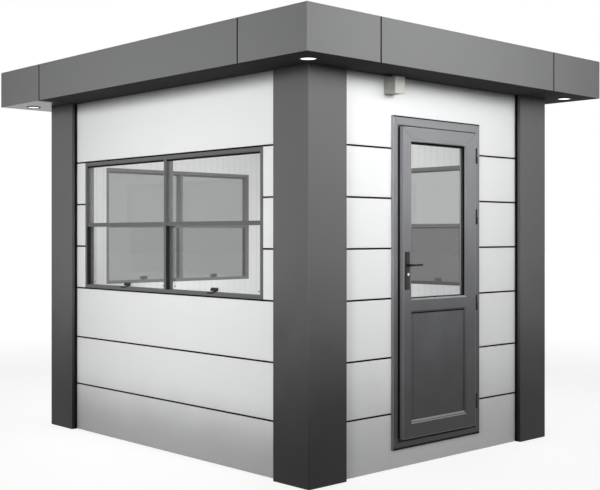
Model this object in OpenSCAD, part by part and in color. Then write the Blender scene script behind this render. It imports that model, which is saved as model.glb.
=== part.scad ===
// Composite cabin: white wall panels between wide corner posts, sliding windows on three sides,
// a glazed door in the front and a flat roof with a deep lit overhang. Front is -Y, ground is Z = 0.

/* [Cabin] */
// width across the corner posts, along X
cabin_w = 2220; // [1800:10:4000]
// depth across the corner posts, along Y
cabin_d = 2720; // [2000:10:6000]
// height of the soffit over the ground
soffit_z = 2300; // [2050:10:2800]

/* [Corner posts] */
// face width of a corner post on each wall
post_w = 290; // [200:5:400]
// how far a post stands in front of the wall panels
post_proud = 35; // [15:1:60]
// bevel along the outer corner of a post
post_bevel = 5; // [2:1:12]

/* [Walls] */
// thickness of the white outer panels
panel_t = 12; // [8:1:20]
// thickness of the insulated core
core_t = 35; // [25:1:80]
// thickness of the inner lining
lining_t = 8; // [5:1:15]
// open joint between wall panels
groove_w = 10; // [4:1:16]
// bevel along the panel edges
panel_bevel = 2; // [1:0.5:4]
// height of the lowest panel course
course_1 = 325; // [250:1:400]
// height of the second panel course
course_2 = 330; // [250:1:400]
// height of the third panel course, which ends at the window sill
course_3 = 346; // [250:1:400]
// height of each of the three courses beside a window
window_course = 293; // [220:1:340]
// gap between the ground and the lowest course
panel_lift = 4; // [2:1:12]
// joint between the core boards round an opening
core_joint = 0.8; // [0.4:0.1:0.9]

/* [Windows] */
// panel width left between a post and a window
window_margin = 125; // [60:5:300]
// how far a window frame stands in front of the panels
window_proud = 4; // [2:1:10]
// face width of the window frame
window_face = 22; // [18:1:40]
// face width of the upright between the two bays
mullion_w = 22; // [18:1:40]
// width of each of the two tracks
track_w = 18; // [14:1:26]
// depth of each track into the frame
track_h = 7; // [4:0.5:8]
// thickness of the fins beside the tracks
track_fin = 6; // [3:1:10]
// play of a sash in its track
sash_play = 0.8; // [0.4:0.1:0.9]
// height of the fixed rail and of the sash rail behind it
sash_rail = 22; // [16:1:30]
// thickness of the window panes
pane_t = 6; // [4:1:12]
// depth of the pull lip on a sash rail
pull_d = 8; // [4:1:12]
// width of a sash latch
latch_w = 62; // [40:1:90]
// height of a sash latch
latch_h = 27; // [15:1:40]
// how far a sash latch stands out
latch_d = 14; // [8:1:20]

/* [Door] */
// width over the door frame
door_w = 816; // [700:5:1000]
// height over the door frame
door_h = 1960; // [1800:5:2100]
// centre of the door, from the middle of the front wall
door_x = -5; // [-200:1:200]
// height of the door frame's lower edge over the ground
door_z = 113; // [60:1:200]
// how far the door frame stands in front of the panels
door_frame_proud = 16; // [8:1:30]
// face width of the door frame
door_frame_face = 42; // [30:1:80]
// extra face height of the frame's head
head_extra = 12; // [0:1:30]
// least distance between the door frame and the soffit
head_room = 60; // [40:1:100]
// open channel between the frame face and the leaf
channel_w = 18; // [8:1:30]
// depth of that channel, down to the frame's ledge
channel_d = 18; // [10:1:30]
// extra width of that channel on the hinge side
hinge_channel = 13; // [0:1:20]
// extra height of that channel over the leaf
head_channel = 4; // [0:1:20]
// how far the leaf stands in front of the frame face
leaf_proud = 27; // [10:1:40]
// how far the leaf laps over the frame's ledge
leaf_lap = 12; // [8:1:20]
// gap between the lap and the ledge
lap_gap = 5.2; // [5:0.2:8]
// thickness of the whole leaf
leaf_t = 66; // [50:1:80]
// gap round the leaf inside the frame
leaf_gap = 8; // [7:0.5:12]
// width of the stile with the lock, with its bead
lock_stile = 78; // [70:1:110]
// width of the stile with the hinges, with its bead
hinge_stile = 99; // [70:1:120]
// height of the leaf's top rail, with its bead
top_rail = 77; // [60:1:110]
// height of the leaf's bottom rail, with its bead
bottom_rail = 92; // [70:1:140]
// height of the rail between glass and panel
mid_rail_h = 82; // [60:1:120]
// height of the middle of that rail over the ground
mid_rail_z = 956; // [800:1:1100]
// sloped bead round the glass and the panel
bead = 10; // [5:1:16]
// small bevel on the outer edges of leaf and frame
door_bevel = 3; // [1:0.5:5]
// depth of the glass behind the leaf's face
glass_set = 22; // [14:1:36]
// depth of the lower panel behind the leaf's face
panel_set = 14; // [12:1:32]
// thickness of the door's glass unit
door_glass_t = 20; // [12:1:28]
// thickness of the door's lower panel
door_panel_t = 24; // [14:1:30]
// number of reeds across the lower panel
reeds = 40; // [8:1:60]
// depth of the grooves between the reeds
reed_d = 2; // [1:0.5:5]
// width of the grooves between the reeds
reed_gap = 3; // [2:0.5:8]

/* [Hinges and handle] */
// radius of a hinge barrel
hinge_r = 8; // [7:0.5:15]
// height of a hinge
hinge_h = 96; // [60:1:130]
// radius of a hinge pin
pin_r = 3.5; // [3:0.5:5]
// play of pin and spindle in their bores
bore_play = 0.3; // [0.2:0.05:0.5]
// gap between the two halves of a hinge
hinge_gap = 2; // [1:0.5:4]
// gap between a hinge barrel and the leaf's edge
hinge_side = 20; // [5:0.5:24]
// width of a hinge's foot on the frame face
hinge_foot = 12; // [8:1:20]
// height over the ground of the lowest hinge
hinge_z1 = 324; // [250:1:400]
// height over the ground of the second hinge
hinge_z2 = 945; // [700:1:1100]
// height over the ground of the third hinge
hinge_z3 = 1488; // [1300:1:1600]
// height over the ground of the top hinge
hinge_z4 = 1873; // [1700:1:1950]
// distance of the handle from the leaf's edge
handle_inset = 30; // [28:1:60]
// height of the lever over the ground
lever_z = 1196; // [1000:1:1300]
// length of the lever from its axis
lever_l = 88; // [70:1:140]
// radius of the lever bar
lever_r = 6; // [5:0.5:8]
// radius of the bend between the lever's neck and bar
lever_bend = 14; // [10:1:20]
// radius of the lever hub
hub_r = 9; // [8:0.5:9.5]
// length of the lever hub
hub_h = 9; // [5:1:12]
// radius of the spindle through the leaf
spindle_r = 4; // [3:0.5:5]
// distance from the plate to the middle of the lever bar
lever_reach = 38; // [30:1:50]
// width of the outside plate
plate_w = 32; // [28:1:40]
// width of the inside plate
inner_plate_w = 19; // [16:1:20]
// height of both plates
plate_h = 223; // [160:1:260]
// thickness of both plates
plate_t = 8; // [4:1:12]
// how far the plates reach over the lever's axis
plate_rise = 78; // [60:1:100]
// distance of the key hole under the lever's axis
key_drop = 55; // [35:1:90]
// radius of the lock cylinder
key_r = 8.5; // [6:0.5:10]
// how far the lock cylinder stands out of its plate
key_proud = 4; // [2:1:8]
// width of the key slot
key_slot = 2; // [1:0.5:3]

/* [Roof] */
// overhang of the roof past the posts
overhang = 260; // [150:5:500]
// height of the fascia
fascia_h = 250; // [150:5:400]
// thickness of the folded fascia sheet
sheet_t = 5; // [3:0.5:8]
// width of the fold along the top of the fascia
cap_w = 70; // [40:5:150]
// thickness of the roof panel
roof_t = 165; // [100:5:170]
// open joint between the fascia sections
fascia_joint = 10; // [4:1:16]
// thickness of the ceiling
ceiling_t = 15; // [8:1:30]

/* [Floor] */
// thickness of the insulated floor base
floor_base_t = 100; // [60:5:160]
// thickness of the floor deck
floor_deck_t = 20; // [12:1:30]

/* [Lights and box] */
// distance of a downlight from the post faces
light_inset = 90; // [70:1:130]
// radius of a downlight lens
lens_r = 43; // [30:1:55]
// width of the ring round a lens
light_ring_w = 7; // [4:1:12]
// how far a ring stands under the soffit
light_ring_t = 4; // [2:1:8]
// depth of a lens inside its ring
lens_set = 1; // [0.5:0.5:2]
// depth of a downlight above the soffit
light_depth = 30; // [15:1:60]
// width of the connection box
box_w = 85; // [60:1:120]
// depth of the connection box
box_d = 90; // [60:1:120]
// height of the connection box
box_h = 100; // [60:1:130]
// distance of the connection box under the soffit
box_drop = 10; // [5:1:30]
// distance of the box's middle from the door's middle
box_offset = -431; // [-500:1:-350]
// thickness of the box's lid
box_lid_t = 22; // [10:1:40]
// step of the lid over the box
box_lid_step = 2; // [1:0.5:4]

/* [Hidden] */
$fn = 48;
// sides of the cabin, as seen from outside: 0 front, 1 left, 2 back, 3 right
FRONT = 0;
LEFT = 1;
BACK = 2;
RIGHT = 3;
turns = [0, -90, 180, 90];
wall_t = panel_t + core_t + lining_t;
half_w = cabin_w / 2;
half_d = cabin_d / 2;
function half(side) = side == FRONT || side == BACK ? half_d : half_w;
function span(side) = 2 * (side == FRONT || side == BACK ? half_w : half_d) - 2 * post_w;
// depth from the panel face
post_back = panel_t + core_t;
post_deep = post_proud + post_back;
inner_w = cabin_w - 2 * post_deep;
inner_d = cabin_d - 2 * post_deep;
// heights
floor_z = floor_base_t + floor_deck_t;
roof_z = soffit_z + sheet_t;
ceiling_z = roof_z - ceiling_t;
joints_z = [0, course_1, course_1 + course_2, course_1 + course_2 + course_3,
    course_1 + course_2 + course_3 + window_course,
    course_1 + course_2 + course_3 + 2 * window_course,
    course_1 + course_2 + course_3 + 3 * window_course];
courses = len(joints_z);
win_z0 = joints_z[3] + groove_w / 2;
win_z1 = joints_z[6] - groove_w / 2;
win_mid = (win_z0 + win_z1) / 2;
// window tracks, as depths from the panel face
win_front = -window_proud;
win_back = wall_t + 1;
track_out = win_front + track_fin;
track_in = track_out + track_w + track_fin;
function win_w(side) = span(side) - 2 * window_margin;
function bay_w(side) = (win_w(side) - 2 * window_face - mullion_w) / 2;
function bay_x(side, k) = k * (bay_w(side) + mullion_w) / 2;
sash_t = track_w - 2 * sash_play;
sash_z0 = win_z0 + window_face;
sash_z1 = win_mid + sash_rail / 2;
sash_front = track_in + sash_play;
sash_pane = track_in + (track_w - pane_t) / 2;
// door
door_head = min(door_z + door_h, soffit_z - head_room);
door_tall = door_head - door_z;
door_front = -door_frame_proud;
ledge = door_front + channel_d;
lap_back = ledge - lap_gap;
leaf_front = door_front - leaf_proud;
leaf_back = leaf_front + leaf_t;
leaf_edge = door_frame_face + channel_w;
frame_inner = leaf_edge + leaf_lap;
door_back = wall_t + 1;
leaf_w = door_w - 2 * leaf_edge - hinge_channel;
leaf_h = door_tall - 2 * leaf_edge - head_channel;
leaf_x = door_x - hinge_channel / 2;
leaf_z = door_z + leaf_edge;
body_in = leaf_lap + leaf_gap;
clear_w = leaf_w - lock_stile - hinge_stile;
clear_x0 = lock_stile - leaf_w / 2;
clear_x1 = leaf_w / 2 - hinge_stile;
glass_z0 = mid_rail_z + mid_rail_h / 2;
glass_z1 = leaf_z + leaf_h - top_rail;
low_z0 = leaf_z + bottom_rail;
low_z1 = mid_rail_z - mid_rail_h / 2;
leaf_mid = (leaf_front + leaf_back) / 2;
hinge_x = leaf_x + leaf_w / 2 + hinge_r + hinge_side;
hinge_y = door_front - hinge_r;
hinges_z = [hinge_z1, hinge_z2, hinge_z3, hinge_z4];
handle_x = leaf_x - leaf_w / 2 + handle_inset;
plate_z = lever_z + plate_rise - plate_h;
plate_r = min(6, inner_plate_w / 2 - 1);
// connection box
box_top = soffit_z - box_drop;
box_tall = min(box_h, box_top - door_head - box_drop);
box_x = door_x + box_offset;
roof_w = cabin_w + 2 * overhang;
roof_d = cabin_d + 2 * overhang;
light_r = lens_r + light_ring_w;
light_x = half_w + light_inset;
light_y = half_d + light_inset;
ends = [-1, 1];

// colours of the finishes
anthracite = [0.30, 0.31, 0.33];
white = [0.92, 0.93, 0.93];
black = [0.05, 0.05, 0.05];
slate = [0.45, 0.46, 0.48];
aluminium = [0.62, 0.63, 0.64];
clear = [0.75, 0.82, 0.84, 0.4];

// choose one part or all

// shared shapes

// block between two corners
module block(x0, x1, y0, y1, z0, z1) {
    translate([x0, y0, z0]) cube([x1 - x0, y1 - y0, z1 - z0]);
}

// turns a wall drawn at the front, with Y the depth from its panel face, to one side
module at_side(side) {
    rotate([0, 0, turns[side]]) translate([0, post_proud - half(side), 0]) children();
}

// carries an outline of depth (X) and height (Y) along the wall between x0 and x1
module along_wall(x0, x1) {
    translate([x0, 0, 0]) rotate([90, 0, 90]) linear_extrude(x1 - x0) children();
}

// one member of a mitred frame, upright, its outer edge at X = 0
module mitred_member(len, reach, y0, y1) {
    intersection() {
        translate([0, 0, -len / 2]) linear_extrude(len) children();
        translate([0, y1 + 1, 0]) rotate([90, 0, 0]) linear_extrude(y1 - y0 + 2)
            polygon([[0, -len / 2], [reach, reach - len / 2], [reach, len / 2 - reach], [0, len / 2]]);
    }
}

// four mitred members round a w by h opening, standing on Z = 0
module mitred_frame(w, h, reach, y0, y1) {
    for (k = ends) {
        translate([0, 0, h / 2]) scale([-k, 1, 1]) translate([-w / 2, 0, 0])
            mitred_member(h, reach, y0, y1) children();
        translate([0, 0, h / 2]) scale([1, 1, -k]) translate([0, 0, -h / 2]) rotate([0, -90, 0])
            mitred_member(w, reach, y0, y1) children();
    }
}

// upright plate with rounded corners, from y0 to y1
module rounded_plate(w, h, r, y0, y1) {
    block(-w / 2 + r, w / 2 - r, y0, y1, 0, h);
    block(-w / 2, w / 2, y0, y1, r, h - r);
    for (k = ends, z = [r, h - r])
        translate([k * (w / 2 - r), y1, z]) rotate([90, 0, 0]) cylinder(r = r, h = y1 - y0);
}

// floor

module floor_base() {
    color(anthracite) block(-inner_w / 2, inner_w / 2, -inner_d / 2, inner_d / 2, 0, floor_base_t);
}

// deck, rebated where the door frame comes through the wall
module floor_deck() {
    color(aluminium) difference() {
        block(-inner_w / 2, inner_w / 2, -inner_d / 2, inner_d / 2, floor_base_t, floor_z);
        at_side(FRONT) block(door_x - door_w / 2, door_x + door_w / 2, post_back - 1, door_back,
            door_z, floor_z + 1);
    }
}

// corner posts

module corner_post(kx, ky) {
    color(anthracite) scale([kx, ky, 1]) translate([half_w, half_d, 0]) linear_extrude(soffit_z)
        polygon([[0, -post_bevel], [0, -post_w], [-post_deep, -post_w], [-post_deep, -post_deep],
            [-post_w, -post_deep], [-post_w, 0], [-post_bevel, 0]]);
}

module corner_post_front_left() { corner_post(-1, -1); }
module corner_post_front_right() { corner_post(1, -1); }
module corner_post_back_left() { corner_post(-1, 1); }
module corner_post_back_right() { corner_post(1, 1); }

// walls

// panel courses from post to post, each with bevelled edges
module panel_courses(side) {
    edge = span(side) / 2 - groove_w;
    for (i = [0 : courses - 1]) {
        z0 = i == 0 ? panel_lift : joints_z[i] + groove_w / 2;
        z1 = i == courses - 1 ? soffit_z : joints_z[i + 1] - groove_w / 2;
        along_wall(-edge, edge) polygon([[0, z0 + panel_bevel], [panel_bevel, z0], [panel_t, z0],
            [panel_t, z1], [panel_bevel, z1], [0, z1 - panel_bevel]]);
    }
}

// core boards beside, over and under one opening
module core_boards(side, x0, x1, z0, z1) {
    edge = span(side) / 2;
    block(-edge, edge, panel_t, post_back, 0, z0 - core_joint);
    block(-edge, edge, panel_t, post_back, z1 + core_joint, soffit_z);
    block(-edge, x0, panel_t, post_back, z0, z1);
    block(x1, edge, panel_t, post_back, z0, z1);
}

// inner lining from floor to ceiling with one opening
module lining(side, edge, x0, x1, z0, z1) {
    difference() {
        block(-edge, edge, post_back, wall_t, floor_z, ceiling_z);
        block(x0, x1, post_back - 1, wall_t + 1, z0, z1);
    }
}

module window_wall_core(side) {
    color(black) at_side(side)
        core_boards(side, -win_w(side) / 2, win_w(side) / 2, win_z0, win_z1);
}

module window_wall_panels(side) {
    color(white) at_side(side) difference() {
        panel_courses(side);
        block(-win_w(side) / 2, win_w(side) / 2, -1, panel_t + 1, win_z0, win_z1);
    }
}

module window_wall_lining(side) {
    edge = side == BACK ? inner_w / 2 - lining_t : inner_d / 2;
    color(white) at_side(side) lining(side, edge, -win_w(side) / 2, win_w(side) / 2, win_z0, win_z1);
}

module left_wall_core() { window_wall_core(LEFT); }
module left_wall_panels() { window_wall_panels(LEFT); }
module left_wall_lining() { window_wall_lining(LEFT); }
module right_wall_core() { window_wall_core(RIGHT); }
module right_wall_panels() { window_wall_panels(RIGHT); }
module right_wall_lining() { window_wall_lining(RIGHT); }
module back_wall_core() { window_wall_core(BACK); }
module back_wall_panels() { window_wall_panels(BACK); }
module back_wall_lining() { window_wall_lining(BACK); }

module front_wall_core() {
    color(black) at_side(FRONT)
        core_boards(FRONT, door_x - door_w / 2, door_x + door_w / 2, door_z, door_head);
}

module front_wall_panels() {
    color(white) at_side(FRONT) difference() {
        panel_courses(FRONT);
        block(door_x - door_w / 2, door_x + door_w / 2, -1, panel_t + 1, door_z, door_head);
    }
}

module front_wall_lining() {
    color(white) at_side(FRONT) lining(FRONT, inner_w / 2 - lining_t,
        door_x - door_w / 2, door_x + door_w / 2, door_z, door_head);
}

// windows: two bays, each a fixed pane over a sash that slides up behind it

module window_frame(side) {
    w = win_w(side);
    color(aluminium) at_side(side) {
        difference() {
            block(-w / 2, w / 2, win_front, win_back, win_z0, win_z1);
            for (k = ends) translate([bay_x(side, k), 0, 0]) {
                b = bay_w(side) / 2;
                block(-b, b, win_front - 1, win_back + 1, win_z0 + window_face, win_z1 - window_face);
                for (t = [track_out, track_in])
                    block(-b - track_h, b + track_h, t, t + track_w,
                        win_z0 + window_face, win_z1 - window_face);
            }
        }
        // fixed rails under the upper panes
        for (k = ends) translate([bay_x(side, k), 0, 0]) {
            b = bay_w(side) / 2 + track_h;
            block(-b, b, track_out, track_out + track_w, win_mid - sash_rail / 2, win_mid + sash_rail / 2);
        }
    }
}

// top rail of each frameless sash, with a pull lip on the room side
module window_sashes(side) {
    y0 = sash_front;
    y1 = sash_front + sash_t;
    z0 = sash_z1 - sash_rail;
    color(aluminium) at_side(side) for (k = ends) translate([bay_x(side, k), 0, 0]) {
        b = bay_w(side) / 2 + track_h - sash_play;
        c = bay_w(side) / 2 - track_h;
        block(-b, b, y0, y1, z0, sash_z1);
        along_wall(-c, c) polygon([[y1, z0], [y1 + pull_d, z0], [y1 + pull_d, z0 + sash_rail / 4],
            [y1, z0 + sash_rail / 2]]);
    }
}

module window_panes(side) {
    color(clear) at_side(side) for (k = ends) translate([bay_x(side, k), 0, 0]) {
        b = bay_w(side) / 2 + track_h;
        c = b - sash_play;
        y0 = track_out + (track_w - pane_t) / 2;
        block(-b, b, y0, y0 + pane_t, win_mid + sash_rail / 2, win_z1 - window_face);
        block(-c, c, sash_pane, sash_pane + pane_t, sash_z0, sash_z1 - sash_rail);
    }
}

// a latch with a sloped thumb piece on the lower edge of each sash, and its keeper on the sill
module window_latches(side) {
    color(black) at_side(side) for (k = ends)
        translate([bay_x(side, k), sash_pane, sash_z0]) {
            along_wall(-latch_w / 2, latch_w / 2) polygon([[0, latch_h / 5], [0, latch_h],
                [-latch_d / 2, latch_h], [-latch_d, latch_h / 2], [-latch_d, latch_h / 5]]);
            along_wall(-latch_w / 4, latch_w / 4) polygon([[0, 0], [0, latch_h / 2],
                [-latch_d / 2, latch_h / 2], [-latch_d / 2, 0]]);
        }
}

module left_window_frame() { window_frame(LEFT); }
module left_window_sashes() { window_sashes(LEFT); }
module left_window_panes() { window_panes(LEFT); }
module left_window_latches() { window_latches(LEFT); }
module right_window_frame() { window_frame(RIGHT); }
module right_window_sashes() { window_sashes(RIGHT); }
module right_window_panes() { window_panes(RIGHT); }
module right_window_latches() { window_latches(RIGHT); }
module back_window_frame() { window_frame(BACK); }
module back_window_sashes() { window_sashes(BACK); }
module back_window_panes() { window_panes(BACK); }
module back_window_latches() { window_latches(BACK); }

// door

// mitred frame with a raised face, a channel round the leaf and the ledge that the leaf closes on
module door_frame() {
    color(slate) at_side(FRONT) translate([door_x, 0, door_z]) {
        mitred_frame(door_w, door_tall, frame_inner, door_front, door_back)
            polygon([[0, door_front + door_bevel], [door_bevel, door_front],
                [door_frame_face - door_bevel, door_front], [door_frame_face, door_front + door_bevel],
                [door_frame_face, ledge], [frame_inner, ledge], [frame_inner, door_back], [0, door_back]]);
        head = door_tall - door_frame_face;
        side = door_w / 2 - door_frame_face + door_bevel;
        along_wall(-side, side)
            polygon([[door_front + door_bevel, head - head_extra],
                [door_front, head - head_extra + door_bevel], [door_front, head + door_bevel],
                [ledge + door_bevel, head + door_bevel],
                [ledge + door_bevel, head - head_extra]]);
    }
}

// slab with bevelled front edges, standing on Z = 0
module bevelled_slab(w, h, b, y0, y1) {
    intersection() {
        linear_extrude(h) polygon([[-w / 2, y0 + b], [b - w / 2, y0], [w / 2 - b, y0], [w / 2, y0 + b],
            [w / 2, y1], [-w / 2, y1]]);
        along_wall(-w / 2, w / 2) polygon([[y0 + b, 0], [y0, b], [y0, h - b], [y0 + b, h], [y1, h], [y1, 0]]);
    }
}

// flare that leaves a sloped bead round an opening; y runs from the face inwards by d
module bead_flare(z0, z1, face, d) {
    over = d > 0 ? -1 : 1;
    f = abs(d) + 1;
    intersection() {
        translate([0, 0, z0 - f]) linear_extrude(z1 - z0 + 2 * f)
            polygon([[clear_x0 - f, face + over], [clear_x1 + f, face + over],
                [clear_x1, face + d], [clear_x0, face + d]]);
        along_wall(clear_x0 - f, clear_x1 + f)
            polygon([[face + over, z0 - f], [face + over, z1 + f], [face + d, z1], [face + d, z0]]);
    }
}

// opening through the leaf with beads on both faces
module leaf_opening(z0, z1) {
    block(clear_x0, clear_x1, leaf_front - 1, leaf_back + 1, z0, z1);
    bead_flare(z0, z1, leaf_front, bead);
    bead_flare(z0, z1, leaf_back, -bead);
}

// leaf with a lap all round, a middle rail and sloped beads on both faces
module door_leaf() {
    color(slate) at_side(FRONT) translate([leaf_x, 0, 0]) difference() {
        union() {
            translate([0, 0, leaf_z]) bevelled_slab(leaf_w, leaf_h, door_bevel, leaf_front, lap_back);
            block(body_in - leaf_w / 2, leaf_w / 2 - body_in, (leaf_front + lap_back) / 2, leaf_back,
                leaf_z + body_in, leaf_z + leaf_h - body_in);
        }
        leaf_opening(glass_z0, glass_z1);
        leaf_opening(low_z0, low_z1);
        translate([handle_x - leaf_x, leaf_back + 1, lever_z]) rotate([90, 0, 0])
            cylinder(r = spindle_r + bore_play, h = leaf_t + 2);
    }
}

module door_glass() {
    color(clear) at_side(FRONT) translate([leaf_x, 0, 0])
        block(clear_x0, clear_x1, leaf_front + glass_set, leaf_front + glass_set + door_glass_t,
            glass_z0, glass_z1);
}

// lower panel with upright grooves on both faces
module door_panel() {
    pitch = clear_w / reeds;
    color(slate) at_side(FRONT) translate([leaf_x, leaf_front + panel_set + door_panel_t / 2, 0])
    difference() {
        block(clear_x0, clear_x1, -door_panel_t / 2, door_panel_t / 2, low_z0, low_z1);
        for (k = ends, i = [1 : reeds - 1])
            translate([clear_x0 + i * pitch, k * door_panel_t / 2, low_z0 - 1])
                linear_extrude(low_z1 - low_z0 + 2)
                    polygon([[-reed_gap / 2, k], [-reed_gap / 2, 0], [0, -k * reed_d],
                        [reed_gap / 2, 0], [reed_gap / 2, k]]);
    }
}

// lower halves on the frame, each with its pin and a foot on the frame's face
module door_frame_hinges() {
    color(black) at_side(FRONT) for (z = hinges_z) translate([hinge_x, hinge_y, z]) {
        translate([0, 0, -hinge_h / 2]) cylinder(r = hinge_r, h = hinge_h / 2 - hinge_gap / 2);
        translate([0, 0, -hinge_gap / 2 - pin_r]) cylinder(r = pin_r, h = hinge_h / 2 - hinge_gap);
        block(0, hinge_r + hinge_foot, 0, hinge_r, -hinge_h / 2, -hinge_gap / 2);
    }
}

// upper halves on the leaf's edge, bored for the pin
module door_leaf_hinges() {
    color(black) at_side(FRONT) for (z = hinges_z) translate([hinge_x, hinge_y, z]) difference() {
        union() {
            translate([0, 0, hinge_gap / 2]) cylinder(r = hinge_r, h = hinge_h / 2 - hinge_gap / 2);
            block(-hinge_r - hinge_side, 0, -hinge_r / 2, hinge_r / 2, hinge_gap / 2, hinge_h / 2);
        }
        cylinder(r = pin_r + bore_play, h = hinge_h / 2 - pin_r);
    }
}

module door_plates() {
    color(black) at_side(FRONT) translate([handle_x, 0, 0]) difference() {
        union() {
            translate([0, 0, plate_z])
                rounded_plate(plate_w, plate_h, plate_r, leaf_front - plate_t, leaf_front);
            translate([0, 0, plate_z])
                rounded_plate(inner_plate_w, plate_h, plate_r, leaf_back, leaf_back + plate_t);
        }
        translate([0, leaf_back + plate_t + 1, lever_z]) rotate([90, 0, 0])
            cylinder(r = spindle_r + bore_play, h = leaf_t + 2 * plate_t + 2);
    }
}

// round cylinder faces with a key slot, outside and inside
module door_lock() {
    color(aluminium) at_side(FRONT) translate([handle_x, leaf_mid, lever_z - key_drop])
        for (k = ends) scale([1, k, 1]) translate([0, leaf_t / 2 + plate_t, 0]) difference() {
            rotate([-90, 0, 0]) cylinder(r = key_r, h = key_proud);
            block(-key_slot / 2, key_slot / 2, key_proud / 2, key_proud + 1, -key_r / 2, key_r / 2);
        }
}

// both levers, each a hub, a neck and a bent round bar, and the spindle that joins them
module door_lever() {
    face = leaf_t / 2 + plate_t + bore_play;
    turn = leaf_t / 2 + plate_t + lever_reach - lever_bend;
    color(black) at_side(FRONT) translate([handle_x, leaf_mid, lever_z]) {
        translate([0, face, 0]) rotate([90, 0, 0]) cylinder(r = spindle_r, h = 2 * face);
        for (k = ends) scale([1, k, 1]) {
            translate([0, face, 0]) rotate([-90, 0, 0]) cylinder(r = hub_r, h = hub_h);
            translate([0, face, 0]) rotate([-90, 0, 0]) cylinder(r = lever_r, h = turn - face);
            translate([lever_bend, turn, 0]) rotate([0, 0, 90]) rotate_extrude(angle = 90)
                translate([lever_bend, 0]) circle(r = lever_r);
            translate([lever_bend, turn + lever_bend, 0]) rotate([0, 90, 0])
                cylinder(r = lever_r, h = lever_l - lever_bend - lever_r);
            translate([lever_l - lever_r, turn + lever_bend, 0]) sphere(r = lever_r);
        }
    }
}

// roof

module roof_panel() {
    x = roof_w / 2 - sheet_t;
    y = roof_d / 2 - sheet_t;
    color(anthracite) difference() {
        block(-x, x, -y, y, roof_z, roof_z + roof_t);
        for (kx = ends, ky = ends) translate([kx * light_x, ky * light_y, roof_z - 1])
            cylinder(r = lens_r, h = light_depth - sheet_t + 1);
    }
}

module ceiling() {
    color(white) block(-inner_w / 2, inner_w / 2, -inner_d / 2, inner_d / 2, ceiling_z, roof_z);
}

// folded sheet all round: soffit, face, top fold and the turn down to the roof panel
module fascia_ring() {
    x = roof_w / 2;
    y = roof_d / 2;
    top = soffit_z + fascia_h;
    difference() {
        block(-x, x, -y, y, soffit_z, top);
        block(sheet_t - x, x - sheet_t, sheet_t - y, y - sheet_t, roof_z, top - sheet_t);
        block(-inner_w / 2, inner_w / 2, -inner_d / 2, inner_d / 2, soffit_z - 1, roof_z + 1);
        block(cap_w - x, x - cap_w, cap_w - y, y - cap_w, roof_z + 1, top + 1);
    }
    difference() {
        block(cap_w - x - sheet_t, x - cap_w + sheet_t, cap_w - y - sheet_t, y - cap_w + sheet_t,
            roof_z + roof_t, top);
        block(cap_w - x, x - cap_w, cap_w - y, y - cap_w, roof_z + roof_t - 1, top + 1);
    }
}

// corner sections, each with the hole for its downlight
module fascia_corners() {
    x = half_w - post_w + fascia_joint / 2;
    y = half_d - post_w + fascia_joint / 2;
    color(anthracite) difference() {
        intersection() {
            fascia_ring();
            for (kx = ends, ky = ends) scale([kx, ky, 1])
                block(x, roof_w, y, roof_d, 0, 2 * soffit_z);
        }
        for (kx = ends, ky = ends) translate([kx * light_x, ky * light_y, soffit_z - 1])
            cylinder(r = lens_r, h = sheet_t + 2);
    }
}

// straight sections between the corners
module fascia_sides() {
    x = half_w - post_w - fascia_joint / 2;
    y = half_d - post_w - fascia_joint / 2;
    color(anthracite) intersection() {
        fascia_ring();
        union() {
            for (k = ends) {
                scale([1, k, 1]) block(-x, x, y, roof_d, 0, 2 * soffit_z);
                scale([k, 1, 1]) block(x, roof_w, -y, y, 0, 2 * soffit_z);
            }
        }
    }
}

module downlight_rings() {
    color(black) for (kx = ends, ky = ends) translate([kx * light_x, ky * light_y, soffit_z - light_ring_t])
        difference() {
            cylinder(r1 = light_r - light_ring_t / 2, r2 = light_r, h = light_ring_t);
            translate([0, 0, -1]) cylinder(r = lens_r, h = light_ring_t + 2);
        }
}

module downlight_lenses() {
    color(white) for (kx = ends, ky = ends)
        translate([kx * light_x, ky * light_y, soffit_z - light_ring_t + lens_set])
            cylinder(r = lens_r, h = light_depth + light_ring_t - lens_set);
}

// box under the soffit beside the door head, with a lid that laps over it
module connection_box() {
    color(white) at_side(FRONT) translate([box_x, 0, 0]) {
        block(-box_w / 2 + box_lid_step, box_w / 2 - box_lid_step, -box_d + box_lid_t, 0,
            box_top - box_tall + box_lid_step, box_top - box_lid_step);
        block(-box_w / 2, box_w / 2, -box_d, -box_d + box_lid_t, box_top - box_tall, box_top);
    }
}

floor_base();
floor_deck();
corner_post_front_left();
corner_post_front_right();
corner_post_back_left();
corner_post_back_right();
front_wall_core();
front_wall_panels();
front_wall_lining();
left_wall_core();
left_wall_panels();
left_wall_lining();
right_wall_core();
right_wall_panels();
right_wall_lining();
back_wall_core();
back_wall_panels();
back_wall_lining();
left_window_frame();
left_window_sashes();
left_window_panes();
left_window_latches();
right_window_frame();
right_window_sashes();
right_window_panes();
right_window_latches();
back_window_frame();
back_window_sashes();
back_window_panes();
back_window_latches();
door_frame();
door_frame_hinges();
door_leaf();
door_glass();
door_panel();
door_leaf_hinges();
door_plates();
door_lock();
door_lever();
roof_panel();
ceiling();
fascia_corners();
fascia_sides();
downlight_rings();
downlight_lenses();
connection_box();
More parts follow.
